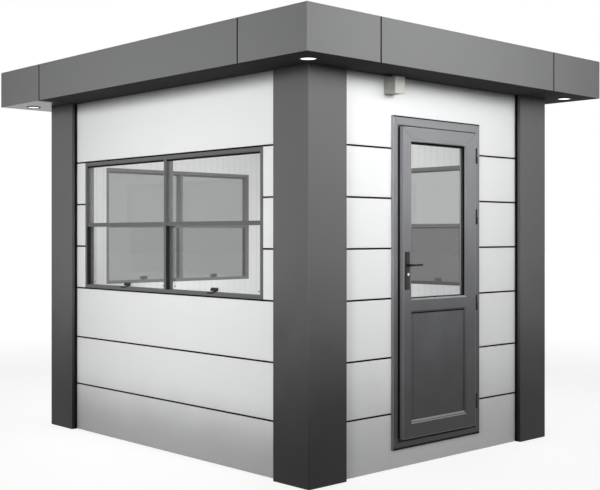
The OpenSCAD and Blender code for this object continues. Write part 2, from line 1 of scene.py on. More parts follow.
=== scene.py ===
import bmesh
import bpy
import math
import numpy as np
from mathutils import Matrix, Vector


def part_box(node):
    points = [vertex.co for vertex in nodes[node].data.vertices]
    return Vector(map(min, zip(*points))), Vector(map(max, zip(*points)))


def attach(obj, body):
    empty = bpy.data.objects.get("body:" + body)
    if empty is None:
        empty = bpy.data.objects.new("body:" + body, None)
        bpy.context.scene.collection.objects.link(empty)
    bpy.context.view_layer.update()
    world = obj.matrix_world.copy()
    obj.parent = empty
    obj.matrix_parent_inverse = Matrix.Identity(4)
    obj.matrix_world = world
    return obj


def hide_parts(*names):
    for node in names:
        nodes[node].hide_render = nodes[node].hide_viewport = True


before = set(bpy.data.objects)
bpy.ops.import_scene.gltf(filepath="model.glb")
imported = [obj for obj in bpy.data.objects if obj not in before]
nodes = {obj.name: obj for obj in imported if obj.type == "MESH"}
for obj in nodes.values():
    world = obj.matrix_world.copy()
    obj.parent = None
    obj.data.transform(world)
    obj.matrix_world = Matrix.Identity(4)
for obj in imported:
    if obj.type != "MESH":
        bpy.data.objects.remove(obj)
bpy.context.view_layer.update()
scene = bpy.context.scene
scene.view_settings.view_transform = "Standard"
print("frame loaded:", len(nodes), "nodes")

# camera: level, on the corner of the cabin, shifted a little as the picture is framed
cameraSet = {
    "place": (-4.9973, -5.4559, 1.3748),
    "turn": -43.0176,
    "lens": 63.065,
    "sensor": 36,
    "shiftY": -0.01725,
    "reach": 200,
}


def makeCamera():
    data = bpy.data.cameras.new("camera")
    data.sensor_width = cameraSet["sensor"]
    data.lens = cameraSet["lens"]
    data.shift_y = cameraSet["shiftY"]
    data.clip_end = cameraSet["reach"]
    cam = bpy.data.objects.new("camera", data)
    cam.location = cameraSet["place"]
    cam.rotation_euler = (math.radians(90), 0, math.radians(cameraSet["turn"]))
    scene.collection.objects.link(cam)
    scene.camera = cam


makeCamera()
print("camera placed")


# node helpers
def addNode(tree, kind, **settings):
    n = tree.nodes.new(kind)
    for key, value in settings.items():
        setattr(n, key, value)
    return n


# each input of a node takes a link or a plain value
def setInputs(tree, n, values):
    for key, value in values.items():
        if isinstance(value, bpy.types.NodeSocket):
            tree.links.new(value, n.inputs[key])
        else:
            n.inputs[key].default_value = value


def mathNode(tree, op, *values):
    n = addNode(tree, "ShaderNodeMath", operation=op)
    setInputs(tree, n, dict(enumerate(values)))
    return n.outputs[0]


def splitNode(tree, vector):
    n = addNode(tree, "ShaderNodeSeparateXYZ")
    setInputs(tree, n, {0: vector})
    return n.outputs


def noiseNode(tree, vector, scale, detail):
    n = addNode(tree, "ShaderNodeTexNoise")
    setInputs(tree, n, {"Vector": vector, "Scale": scale, "Detail": detail})
    return n.outputs["Fac"]


# eased step: one value up to the start, another from the end on
def rampNode(tree, value, start, end, atStart, atEnd, ease="SMOOTHSTEP"):
    n = addNode(tree, "ShaderNodeMapRange", interpolation_type=ease)
    sockets = ("Value", "From Min", "From Max", "To Min", "To Max")
    setInputs(tree, n, dict(zip(sockets, (value, start, end, atStart, atEnd))))
    return n.outputs[0]


# 1 outside the mask, the kept share inside it
def keepNode(tree, mask, keep):
    return mathNode(tree, "MULTIPLY_ADD", mask, keep - 1, 1.0)


# new shader group: an input without a default is a vector, all other sockets are plain values
def newGroup(name, ins, outs):
    tree = bpy.data.node_groups.new(name, "ShaderNodeTree")
    for socketName, default in ins.items():
        kind = "NodeSocketVector" if default is None else "NodeSocketFloat"
        socket = tree.interface.new_socket(socketName, in_out="INPUT", socket_type=kind)
        if default is not None:
            socket.default_value = default
    for socketName in outs:
        tree.interface.new_socket(socketName, in_out="OUTPUT", socket_type="NodeSocketFloat")
    given = tree.nodes.new("NodeGroupInput").outputs
    result = tree.nodes.new("NodeGroupOutput")
    return tree, given, result


def useGroup(tree, group, **values):
    n = addNode(tree, "ShaderNodeGroup", node_tree=group)
    setInputs(tree, n, values)
    return n


grainSet = {"fineDetail": 2, "fineShare": 0.4, "broadScale": 2.3, "broadDetail": 3, "broadShare": 0.6}


# fine coating grain: small noise for the bump and for a light change of tone and gloss
def makeGrainGroup():
    ins = {"Vector": None, "Scale": 900.0, "Tone": 0.05, "Gloss": 0.4, "Spread": 0.05}
    tree, given, result = newGroup("coatingGrain", ins, ("Tone", "Gloss", "Height"))
    fine = noiseNode(tree, given["Vector"], given["Scale"], grainSet["fineDetail"])
    broad = noiseNode(tree, given["Vector"], grainSet["broadScale"], grainSet["broadDetail"])
    finePart = mathNode(tree, "MULTIPLY", fine, grainSet["fineShare"])
    broadPart = mathNode(tree, "MULTIPLY", broad, grainSet["broadShare"])
    centred = mathNode(tree, "SUBTRACT", mathNode(tree, "ADD", finePart, broadPart), 0.5)
    tone = mathNode(tree, "MULTIPLY_ADD", centred, given["Tone"], 1.0)
    gloss = mathNode(tree, "MULTIPLY_ADD", centred, given["Spread"], given["Gloss"])
    setInputs(tree, result, {"Tone": tone, "Gloss": gloss, "Height": fine})
    return tree


paintedShadeSet = {"noise": 3, "detail": 5, "ragged": 0.25}


# painted shade rising from the ground: 1 at the ground, fading upwards, broken up by noise
def makePaintedShadeGroup():
    ins = {"Vector": None, "Height": 0.8, "Amount": 0.2}
    tree, given, result = newGroup("paintedGroundShade", ins, ("Keep",))
    noise = noiseNode(tree, given["Vector"], paintedShadeSet["noise"], paintedShadeSet["detail"])
    level = mathNode(tree, "DIVIDE", splitNode(tree, given["Vector"])["Z"], given["Height"])
    lower = mathNode(tree, "SUBTRACT", level, paintedShadeSet["ragged"] / 2)
    ragged = mathNode(tree, "MULTIPLY_ADD", noise, paintedShadeSet["ragged"], lower)
    fade = rampNode(tree, ragged, 0.0, 1.0, 1.0, 0.0, "SMOOTHERSTEP")
    mask = mathNode(tree, "MULTIPLY", fade, given["Amount"])
    setInputs(tree, result, {"Keep": mathNode(tree, "SUBTRACT", 1.0, mask)})
    return tree


# straight lines at an even pitch: 1 in the line, from the distance to the nearest multiple of the pitch
def makeLinesGroup():
    tree, given, result = newGroup("evenLines", {"Along": 0.0, "Pitch": 0.06, "Width": 0.003}, ("Line",))
    turn = mathNode(tree, "FRACT", mathNode(tree, "DIVIDE", given["Along"], given["Pitch"]))
    off = mathNode(tree, "ABSOLUTE", mathNode(tree, "SUBTRACT", turn, 0.5))
    away = mathNode(tree, "MULTIPLY", mathNode(tree, "SUBTRACT", 0.5, off), given["Pitch"])
    setInputs(tree, result, {"Line": rampNode(tree, away, 0.0, given["Width"], 1.0, 0.0)})
    return tree


# hairline where mitred members meet: there the distances to the outer sides, each over its own member's
# width, are equal
def makeMitreGroup():
    sides = ("Left", "Right", "Bottom", "Top")
    members = ("Stile Left", "Stile Right", "Rail Bottom", "Rail Top")
    ins = {"Vector": None, **{name: 0.08 for name in (*sides, *members, "Width")}}
    tree, given, result = newGroup("mitreLine", ins, ("Line",))
    place = splitNode(tree, given["Vector"])

    def share(high, low, member):
        return mathNode(tree, "DIVIDE", mathNode(tree, "SUBTRACT", high, low), given[member])
    fromLeft = share(place["X"], given["Left"], "Stile Left")
    fromRight = share(given["Right"], place["X"], "Stile Right")
    fromBottom = share(place["Z"], given["Bottom"], "Rail Bottom")
    fromTop = share(given["Top"], place["Z"], "Rail Top")
    side = mathNode(tree, "MINIMUM", fromLeft, fromRight)
    level = mathNode(tree, "MINIMUM", fromBottom, fromTop)
    apart = mathNode(tree, "ABSOLUTE", mathNode(tree, "SUBTRACT", side, level))
    near = mathNode(tree, "LESS_THAN", apart, given["Width"])
    inside = mathNode(tree, "LESS_THAN", side, 1.0)
    setInputs(tree, result, {"Line": mathNode(tree, "MULTIPLY", near, inside)})
    return tree


grainGroup = makeGrainGroup()
paintedShadeGroup = makePaintedShadeGroup()
linesGroup = makeLinesGroup()
mitreGroup = makeMitreGroup()
grainDepth = 0.0002  # height of the coating's grain


def startMaterial(name):
    mat = bpy.data.materials.new(name)
    mat.use_nodes = True
    tree = mat.node_tree
    tree.nodes.clear()
    out = addNode(tree, "ShaderNodeOutputMaterial")
    shader = addNode(tree, "ShaderNodeBsdfPrincipled")
    setInputs(tree, out, {"Surface": shader.outputs[0]})
    coords = addNode(tree, "ShaderNodeTexCoord").outputs["Object"]
    return mat, tree, shader, coords


# colour times a factor that changes over the surface
def tintColour(tree, colour, factor):
    n = addNode(tree, "ShaderNodeVectorMath", operation="SCALE")
    setInputs(tree, n, {0: colour, "Scale": factor})
    return n.outputs[0]


def setBump(tree, shader, height, distance, strength):
    bump = addNode(tree, "ShaderNodeBump")
    setInputs(tree, bump, {"Strength": strength, "Distance": distance, "Height": height})
    setInputs(tree, shader, {"Normal": bump.outputs[0]})


def useGrain(tree, coords, look):
    return useGroup(tree, grainGroup, Vector=coords, Scale=look["grain"], Tone=look["tone"],
                    Gloss=look["gloss"], Spread=look["spread"]).outputs


# a coated surface: colour with grain, soft gloss, fine bump, and painted shade that darkens it towards the
# ground
def coatedMaterial(name, look):
    mat, tree, shader, coords = startMaterial(name)
    grain = useGrain(tree, coords, look)
    factor, gloss = grain["Tone"], grain["Gloss"]
    if "paintedShade" in look:
        paintedShade = useGroup(tree, paintedShadeGroup, Vector=coords, Height=look["paintedShadeHeight"], Amount=look["paintedShade"])
        factor = mathNode(tree, "MULTIPLY", factor, paintedShade.outputs["Keep"])
    if "under" in look:
        place = splitNode(tree, coords)
        below = mathNode(tree, "LESS_THAN", place["Z"], look["under"])  # 1 on the sheet's underside
        # painted shade: the sheet's underside, the soffit, is darkened as if in the shade of the eaves
        factor = mathNode(tree, "MULTIPLY", factor, keepNode(tree, below, look["underKeep"]))
        # dull under the eaves, glossy past the back wall
        shade = rampNode(tree, place["Y"], *look["underShade"])
        gloss = mathNode(tree, "MULTIPLY_ADD", below, mathNode(tree, "SUBTRACT", shade, gloss), gloss)
    setInputs(tree, shader, {"Base Color": tintColour(tree, look["colour"], factor), "Roughness": gloss,
                             "Metallic": look.get("metal", 0.0),
                             "Specular IOR Level": look.get("specular", 0.5)})
    setBump(tree, shader, grain["Height"], grainDepth, look.get("bump", 0.15))
    return mat


# looks that several finishes share; underShade gives where the gloss changes along Y, and from what to what
greyCoat = {"grain": 1100.0, "tone": 0.08, "gloss": 0.42, "spread": 0.06, "bump": 0.12}
fasciaLook = {**greyCoat, "specular": 0.28, "under": 2.3008, "underShade": (1.0, 1.14, 1.0, 0.26)}
roofLook = {"grain": 500.0, "tone": 0.25, "spread": 0.1, "specular": 0.3, "bump": 0.3}
looks = {
    # the posts and the floor base darken towards the ground by the amount and height given here: painted
    # shade
    "anthracite": {**greyCoat, "colour": (0.118, 0.120, 0.119), "specular": 0.22,
                   "paintedShade": 0.88, "paintedShadeHeight": 1.45},
    # the soffit keeps only a small share of its colour, and the corners keep the least: painted shade under
    # the eaves
    "fasciaCoat": {**fasciaLook, "colour": (0.162, 0.165, 0.164), "underKeep": 0.06},
    "fasciaCorner": {**fasciaLook, "colour": (0.166, 0.169, 0.168), "underKeep": 0.02},
    "jointBlack": {"colour": (0.006, 0.006, 0.006), "grain": 400.0, "tone": 0.2,
                   "gloss": 0.8, "spread": 0.1, "specular": 0.1},
    "windowGrey": {"colour": (0.110, 0.112, 0.113), "grain": 1500.0, "tone": 0.06,
                   "gloss": 0.40, "spread": 0.06, "specular": 0.3, "bump": 0.08},
    "blackPlastic": {"colour": (0.010, 0.010, 0.010), "grain": 1300.0, "tone": 0.2,
                     "gloss": 0.45, "spread": 0.1, "specular": 0.25},
    "blackCoat": {"colour": (0.010, 0.010, 0.011), "grain": 1600.0, "tone": 0.2,
                  "gloss": 0.40, "spread": 0.08, "specular": 0.3},
    "hingeBlack": {"colour": (0.006, 0.006, 0.006), "grain": 1600.0, "tone": 0.2,
                   "gloss": 0.5, "spread": 0.08, "specular": 0.15},
    "sealRubber": {"colour": (0.004, 0.004, 0.004), "grain": 900.0, "tone": 0.3,
                   "gloss": 0.75, "spread": 0.1, "specular": 0.1},
    "brightSteel": {"colour": (0.75, 0.75, 0.74), "grain": 1800.0, "tone": 0.1,
                    "gloss": 0.25, "spread": 0.1, "metal": 1.0},
    "boxBeige": {"colour": (0.53, 0.53, 0.48), "grain": 900.0, "tone": 0.05,
                 "gloss": 0.5, "spread": 0.08, "specular": 0.4},
    "roofSheet": {**roofLook, "colour": (0.09, 0.092, 0.095), "gloss": 0.7},
    "roofLap": {**roofLook, "colour": (0.115, 0.117, 0.120), "gloss": 0.6},
    "floorSheet": {"colour": (0.30, 0.30, 0.30), "grain": 350.0, "tone": 0.2,
                   "gloss": 0.55, "spread": 0.1, "specular": 0.4, "bump": 0.25},
    "ceilingWhite": {"colour": (0.85, 0.85, 0.85), "grain": 500.0, "tone": 0.03,
                     "gloss": 0.5, "spread": 0.05},
}
mats = {name: coatedMaterial(name, look) for name, look in looks.items()}

# half lengths of the walls between the posts, and the levels of the soffit and of the fascia's top
wallEnd = {"front": 0.82, "back": 0.82, "left": 1.07, "right": 1.07}
roofLevel = {"soffit": 2.3, "top": 2.55}

sheetSet = {
    "colour": (0.83, 0.835, 0.84), "grain": 700.0, "tone": 0.025, "gloss": 0.38, "spread": 0.05,
    "specular": 0.35, "bump": 0.05,
    # the wall sheets darken towards the foot by the amount and height given here: painted shade
    "paintedShade": {"X": 0.28, "Y": 0.46}, "paintedShadeHeight": {"X": 0.8, "Y": 0.54},
    "postShadeKeep": 0.55, "edgeWide": 0.032,
}


# white coated wall sheet: fine grain, painted shade that darkens it towards the foot, and painted shade that
# darkens its edge within reach of the posts
def sheetMaterial(name, axis, end):
    mat, tree, shader, coords = startMaterial(name)
    grain = useGrain(tree, coords, sheetSet)
    paintedShade = useGroup(tree, paintedShadeGroup, Vector=coords,
                     Height=sheetSet["paintedShadeHeight"][axis], Amount=sheetSet["paintedShade"][axis])
    off = mathNode(tree, "ABSOLUTE", splitNode(tree, coords)[axis])
    # painted shade where the sheet meets the posts
    edge = rampNode(tree, off, end - sheetSet["edgeWide"], end, 1.0, sheetSet["postShadeKeep"])
    foot = mathNode(tree, "MULTIPLY", grain["Tone"], paintedShade.outputs["Keep"])
    factor = mathNode(tree, "MULTIPLY", foot, edge)
    setInputs(tree, shader, {"Base Color": tintColour(tree, sheetSet["colour"], factor),
                             "Roughness": grain["Gloss"], "Specular IOR Level": sheetSet["specular"]})
    setBump(tree, shader, grain["Height"], grainDepth, sheetSet["bump"])
    return mat


liningSet = {
    "colour": (0.86, 0.86, 0.86), "grain": 600.0, "tone": 0.03, "gloss": 0.45, "spread": 0.05,
    "lineKeep": 0.80, "pitch": 0.06, "width": 0.0035, "lineDeep": 0.002, "bump": 0.6,
}


# white lining with upright V lines along X or Y
def liningMaterial(name, axis):
    mat, tree, shader, coords = startMaterial(name)
    along = splitNode(tree, coords)[axis]
    lines = useGroup(tree, linesGroup, Along=along, Pitch=liningSet["pitch"], Width=liningSet["width"])
    line = lines.outputs["Line"]
    grain = useGrain(tree, coords, liningSet)
    factor = mathNode(tree, "MULTIPLY", keepNode(tree, line, liningSet["lineKeep"]), grain["Tone"])
    setInputs(tree, shader, {"Base Color": tintColour(tree, liningSet["colour"], factor),
                             "Roughness": grain["Gloss"]})
    setBump(tree, shader, mathNode(tree, "SUBTRACT", 1.0, line), liningSet["lineDeep"], liningSet["bump"])
    return mat


doorSet = {
    "colour": (0.250, 0.253, 0.265), "grain": 1300.0, "tone": 0.07, "gloss": 0.42, "spread": 0.06,
    # the door darkens towards its foot by the amount and height given here: painted shade
    "specular": 0.25, "bump": 0.12, "paintedShade": 0.82, "paintedShadeHeight": 2.3,
    "frameWide": 0.072, "mitreKeep": 0.45, "mitreWidth": 0.016,
}


# foil of the door members: fine grain, painted shade that darkens it towards the foot, and the mitre
# hairlines of a rectangle of members; a lift above 1 makes a lighter copy, which is painted light
def doorMaterial(name, rect=None, members=None, paintedShadeShare=1.0, lift=1.0):
    mat, tree, shader, coords = startMaterial(name)
    grain = useGrain(tree, coords, doorSet)
    paintedShade = useGroup(tree, paintedShadeGroup, Vector=coords,
                     Height=doorSet["paintedShadeHeight"], Amount=doorSet["paintedShade"] * paintedShadeShare)
    factor = mathNode(tree, "MULTIPLY", grain["Tone"], paintedShade.outputs["Keep"])
    if members:
        sockets = ("Left", "Right", "Bottom", "Top", "Stile Left", "Stile Right", "Rail Bottom", "Rail Top")
        mitre = useGroup(tree, mitreGroup, Vector=coords, Width=doorSet["mitreWidth"])
        setInputs(tree, mitre, dict(zip(sockets, (*rect, *members))))
        hairline = keepNode(tree, mitre.outputs["Line"], doorSet["mitreKeep"])
        factor = mathNode(tree, "MULTIPLY", factor, hairline)
    colour = [c * lift for c in doorSet["colour"]]
    setInputs(tree, shader, {"Base Color": tintColour(tree, colour, factor),
                             "Roughness": grain["Gloss"], "Specular IOR Level": doorSet["specular"]})
    setBump(tree, shader, grain["Height"], grainDepth, doorSet["bump"])
    return mat


# tints of the panes over and under the rail; the dark tints of the back and right panes, darkest under the
# right window's rail, make these far panes as dim as they look: painted shade
glassSet = {
    "film": {"grain": 40.0, "tone": 0.02, "gloss": 0.0, "spread": 0.0}, "index": 1.45, "rail": 1.44,
    "tints": {
        "clearGlass": {"upper": (0.975, 0.98, 0.98), "lower": (0.975, 0.98, 0.98)},
        "shadedBackGlass": {"upper": (0.30, 0.31, 0.31), "lower": (0.25, 0.26, 0.26)},
        "shadedSplitGlass": {"upper": (0.40, 0.41, 0.41), "lower": (0.098, 0.098, 0.101)},
    },
}


# pane: glass to the eye, plain tinted gap to lamp shadows so that the room is lit; the tint steps at the rail
def glassMaterial(name, tint):
    mat, tree, shader, coords = startMaterial(name)
    film = useGrain(tree, coords, glassSet["film"])
    over = mathNode(tree, "GREATER_THAN", splitNode(tree, coords)["Z"], glassSet["rail"])
    blend = addNode(tree, "ShaderNodeMix", data_type="RGBA")
    setInputs(tree, blend, {"Factor": over, "A": (*tint["lower"], 1), "B": (*tint["upper"], 1)})
    colour = tintColour(tree, blend.outputs["Result"], film["Tone"])
    setInputs(tree, shader, {"Base Color": colour, "Roughness": 0.0, "IOR": glassSet["index"],
                             "Transmission Weight": 1.0})
    clear = addNode(tree, "ShaderNodeBsdfTransparent")
    setInputs(tree, clear, {"Color": colour})
    shadow = addNode(tree, "ShaderNodeLightPath").outputs["Is Shadow Ray"]
    mix = addNode(tree, "ShaderNodeMixShader")
    setInputs(tree, mix, {0: shadow, 1: shader.outputs[0], 2: clear.outputs[0]})
    setInputs(tree, tree.nodes["Material Output"], {"Surface": mix.outputs[0]})
    return mat


# recessed lights, one at each corner of the soffit: places, sizes and glow
lightSet = {
    "x": 1.2, "y": 1.45, "lens": 0.043, "lensDeep": 0.01, "dome": 0.001,
    "ring": 0.05, "ringDrop": 0.0045, "ringOver": 0.001, "ringSeat": 0.2,
    "steps": 48, "rollSteps": 16, "domeSteps": 8,
    "colour": (0.9, 0.9, 0.88), "glow": (1.0, 0.97, 0.9), "strength": 2.0, "gloss": 0.3,
    "pitch": 0.006, "ribKeep": 0.85, "ribDeep": 0.001, "bump": 0.4,
}


# lit lens: glow with rings about each light's middle, from the distance to the nearest of the four
def lensMaterial(name):
    mat, tree, shader, coords = startMaterial(name)
    place = splitNode(tree, coords)
    squares = []
    for axis, middle in (("X", lightSet["x"]), ("Y", lightSet["y"])):
        off = mathNode(tree, "SUBTRACT", mathNode(tree, "ABSOLUTE", place[axis]), middle)
        squares.append(mathNode(tree, "MULTIPLY", off, off))
    away = mathNode(tree, "SQRT", mathNode(tree, "ADD", *squares))
    ribs = useGroup(tree, linesGroup, Along=away, Pitch=lightSet["pitch"], Width=lightSet["pitch"] / 2)
    keep = keepNode(tree, ribs.outputs["Line"], lightSet["ribKeep"])
    setInputs(tree, shader, {"Base Color": tintColour(tree, lightSet["colour"], keep),
                             "Emission Color": tintColour(tree, lightSet["glow"], keep),
                             "Roughness": lightSet["gloss"], "Emission Strength": lightSet["strength"]})
    setBump(tree, shader, keep, lightSet["ribDeep"], lightSet["bump"])
    return mat


# left, right, bottom and top of a box seen from the front
def rectOf(low, high):
    return low[0], high[0], low[2], high[2]


frameLow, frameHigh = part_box("door_frame")
leafLow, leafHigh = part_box("door_leaf")
glassLow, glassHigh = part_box("door_glass")
lowLow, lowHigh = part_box("door_panel")
frameRect, leafRect = rectOf(frameLow, frameHigh), rectOf(leafLow, leafHigh)
glassRect, lowRect = rectOf(glassLow, glassHigh), rectOf(lowLow, lowHigh)
leafMembers = (glassLow[0] - leafLow[0], leafHigh[0] - glassHigh[0],
               lowLow[2] - leafLow[2], leafHigh[2] - glassHigh[2])
mats["liningX"] = liningMaterial("liningX", "X")
mats["liningY"] = liningMaterial("liningY", "Y")
mats["doorFrameFoil"] = doorMaterial("doorFrameFoil", frameRect, (doorSet["frameWide"],) * 4)
mats["doorLeafFoil"] = doorMaterial("doorLeafFoil", leafRect, leafMembers)
mats["doorPanelFoil"] = doorMaterial("doorPanelFoil")
# lighter copies of the door foil, with less painted shade and a lifted colour: painted light on the beads and
# edges that catch the light
mats["doorBeadFoil"] = doorMaterial("doorBeadFoil", paintedShadeShare=0.2)
mats["doorEdgeHighlight"] = doorMaterial("doorEdgeHighlight", paintedShadeShare=0.72, lift=1.3)
mats["doorBeadHighlight"] = doorMaterial("doorBeadHighlight", paintedShadeShare=0.15, lift=1.5)
mats["sheetX"] = sheetMaterial("sheetX", "X", wallEnd["front"])
mats["sheetY"] = sheetMaterial("sheetY", "Y", wallEnd["left"])
for glassName, glassTint in glassSet["tints"].items():
    mats[glassName] = glassMaterial(glassName, glassTint)
mats["lightLens"] = lensMaterial("lightLens")
print("materials made:", len(mats))

finishOf = {
    "anthracite": [n for n in nodes if n.startswith("corner_post")] + ["floor_base"],
    "fasciaCoat": ["fascia_sides"],
    "fasciaCorner": ["fascia_corners"],
    "sheetX": ["front_wall_panels", "back_wall_panels"],
    "sheetY": ["left_wall_panels", "right_wall_panels"],
    "jointBlack": [n for n in nodes if n.endswith("wall_core")],
    "liningX": ["front_wall_lining", "back_wall_lining"],
    "liningY": ["left_wall_lining", "right_wall_lining"],
    "windowGrey": [n for n in nodes if n.endswith(("window_frame", "window_sashes"))],
    "clearGlass": ["left_window_panes", "door_glass"],
    "shadedBackGlass": ["back_window_panes"],
    "shadedSplitGlass": ["right_window_panes"],
    "blackPlastic": [n for n in nodes if n.endswith("window_latches")] + ["downlight_rings"],
    "doorFrameFoil": ["door_frame"],
    "doorLeafFoil": ["door_leaf"],
    "doorPanelFoil": ["door_panel"],
    "blackCoat": ["door_plates"],
    "hingeBlack": ["door_frame_hinges", "door_leaf_hinges", "door_lever"],
    "brightSteel": ["door_lock"],
    "roofSheet": ["roof_panel"],
    "floorSheet": ["floor_deck"],
    "ceilingWhite": ["ceiling"],
    "lightLens": ["downlight_lenses"],
    "boxBeige": ["connection_box"],
}
for finish, members in finishOf.items():
    for n in members:
        nodes[n].data.materials.clear()
        nodes[n].data.materials.append(mats[finish])

# rounded edges on the sheet and profile nodes: widths by words in the node's name
edgeSet = {
    "widths": {"corner_post": 0.003, "fascia": 0.002, "wall_panels": 0.0006,
               "window_frame": 0.0012, "window_sashes": 0.001, "window_latches": 0.002,
               "door_plates": 0.0012, "connection_box": 0.003},
    "weld": 0.00001, "segments": 2, "bevelFrom": 25, "splitFrom": 12,
}


def softenEdges(obj, width):
    weld = obj.modifiers.new("weld", "WELD")
    weld.merge_threshold = edgeSet["weld"]
    bevel = obj.modifiers.new("edge", "BEVEL")
    bevel.width = width
    bevel.segments = edgeSet["segments"]
    bevel.limit_method = "ANGLE"
    bevel.angle_limit = math.radians(edgeSet["bevelFrom"])
    split = obj.modifiers.new("split", "EDGE_SPLIT")
    split.split_angle = math.radians(edgeSet["splitFrom"])


for part, width in edgeSet["widths"].items():
    for n in nodes:
        if part in n:
            softenEdges(nodes[n], width)
print("edges rounded")

mergeWithin = 0.000001  # points of a new mesh nearer than this are one


# mesh from grids of points, copies by rows by columns, wrapped where asked, end rows closed where asked
def gridMesh(name, grids, wrapRows, wrapCols, capEnds):
    copies, rows, cols = grids.shape[:3]
    index = np.arange(copies * rows * cols).reshape(copies, rows, cols)
    r = np.arange(rows if wrapRows else rows - 1)
    c = np.arange(cols if wrapCols else cols - 1)
    nextCol = (c + 1) % cols
    near, far = index[:, r], index[:, (r + 1) % rows]
    quads = np.stack([near[:, :, c], near[:, :, nextCol], far[:, :, nextCol], far[:, :, c]], -1)
    caps = index[:, 0, ::-1].tolist() + index[:, -1].tolist() if capEnds else []
    mesh = bpy.data.meshes.new(name)
    mesh.from_pydata(grids.reshape(-1, 3).tolist(), [], quads.reshape(-1, 4).tolist() + caps)
    work = bmesh.new()
    work.from_mesh(mesh)
    bmesh.ops.remove_doubles(work, verts=work.verts, dist=mergeWithin)
    bmesh.ops.dissolve_degenerate(work, edges=work.edges, dist=mergeWithin)
    bmesh.ops.recalc_face_normals(work, faces=work.faces)
    work.to_mesh(mesh)
    work.free()
    obj = bpy.data.objects.new(name, mesh)
    scene.collection.objects.link(obj)
    return obj


# how a piece's grids close: rows wrapped, columns wrapped, ends capped
gridKinds = {"ring": (True, True, False), "bar": (False, True, True), "turned": (True, False, False)}


def addPiece(name, kind, grids, body, finish, smooth=False):
    obj = gridMesh(name, np.stack(grids), *gridKinds[kind])
    obj.data.materials.append(mats[finish])
    obj.data.polygons.foreach_set("use_smooth", np.full(len(obj.data.polygons), smooth))
    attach(obj, body)
    return obj


# outline drawn in millimetres, moved to its place in metres
def placed(outline, across=0.0, depth=0.0):
    return np.array(outline, float) * 0.001 + (across, depth)


wallY = -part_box("front_wall_panels")[0][1]
wallX = -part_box("left_wall_panels")[0][0]


# where a wall's own coordinates lie in the frame: along the wall, height, depth behind the panel face
def wallPoint(side, along, height, depth):
    along, height, depth = np.broadcast_arrays(*(np.asarray(v, float) for v in (along, height, depth)))
    x, y = {
        "front": (along, depth - wallY),
        "back": (-along, wallY - depth),
        "left": (depth - wallX, -along),
        "right": (wallX - depth, along),
    }[side]
    return np.stack([x, y, height], -1)


# outline carried round a rectangle: each corner moves in by the outline's inset times the widths of its
# two sides
def loopGrid(side, rect, outline, widths=(1, 1, 1, 1)):
    left, right, bottom, top = rect
    wl, wr, wb, wt = widths
    outline = np.array(outline)
    corners = [(left, bottom, wl, wb), (right, bottom, -wr, wb), (right, top, -wr, -wt), (left, top, wl, -wt)]
    corner = np.array(corners, float)
    along = corner[:, :1] + corner[:, 2:3] * outline[:, 0]
    height = corner[:, 1:2] + corner[:, 3:4] * outline[:, 0]
    return wallPoint(side, along, height, outline[:, 1])


# outline of height and depth carried level along a wall; the ends open out by the given flare at each depth
def levelGrid(side, left, right, outline, flare=None):
    height, depth = np.array(outline).T
    more = np.interp(depth, *flare) if flare else np.zeros(len(depth))
    return np.stack([wallPoint(side, along, height, depth) for along in (left - more, right + more)])


# outline of reach from the wall's side and depth, carried straight up between two heights
def uprightGrid(side, at, toward, bottom, top, outline):
    reach, depth = np.array(outline).T
    return np.stack([wallPoint(side, at + toward * reach, z, depth) for z in (bottom, top)])


# outline of radius and height turned about an axis through each centre
def turnedGrids(centres, outline, axis, steps):
    radius, height = np.array(outline).T
    angle = np.linspace(0, 2 * np.pi, steps, endpoint=False)[:, None]
    u, v = radius * np.cos(angle), radius * np.sin(angle)
    w = np.broadcast_to(height, u.shape)
    turned = np.stack({"x": (w, u, v), "y": (u, w, v), "z": (u, v, w)}[axis], -1)
    return np.asarray(centres, float)[:, None, None, :] + turned[None]


# depths behind the panel face of the wall: leaf, frame, and both sides of the glass and of the low panel
leafDepth, frameDepth = leafLow[1] + wallY, frameLow[1] + wallY
glassFront, glassBack = glassLow[1] + wallY, glassHigh[1] + wallY
lowFront, lowBack = lowLow[1] + wallY, lowHigh[1] + wallY

# door seals: rubber round the glass and the low panel, a strip on the leaf's edge, and dark lines at the
# frame's head and foot; widths in the order left, right, foot, head
sealSet = {
    # the rubber is widest at the heads of the glass and of the low panel, black where the rebate lies in
    # shade: partly a gasket, partly painted shade
    "glassWidths": (0.005, 0.005, 0.0015, 0.021), "glassThick": 0.002, "reveal": 0.0115,
    "lipShare": 0.2, "roundShare": 0.9, "noseShare": 0.6, "insideBand": 0.006,
    "lowWidths": (0.0025, 0.0025, 0.0005, 0.0095), "lowThick": 0.0015,
    "edgeThick": 0.0015, "edgeWide": 0.010, "edgeStart": 0.0005,
    "headLine": 0.007, "footLine": 0.010, "lineThick": 0.001, "lineClear": 0.0005,
}


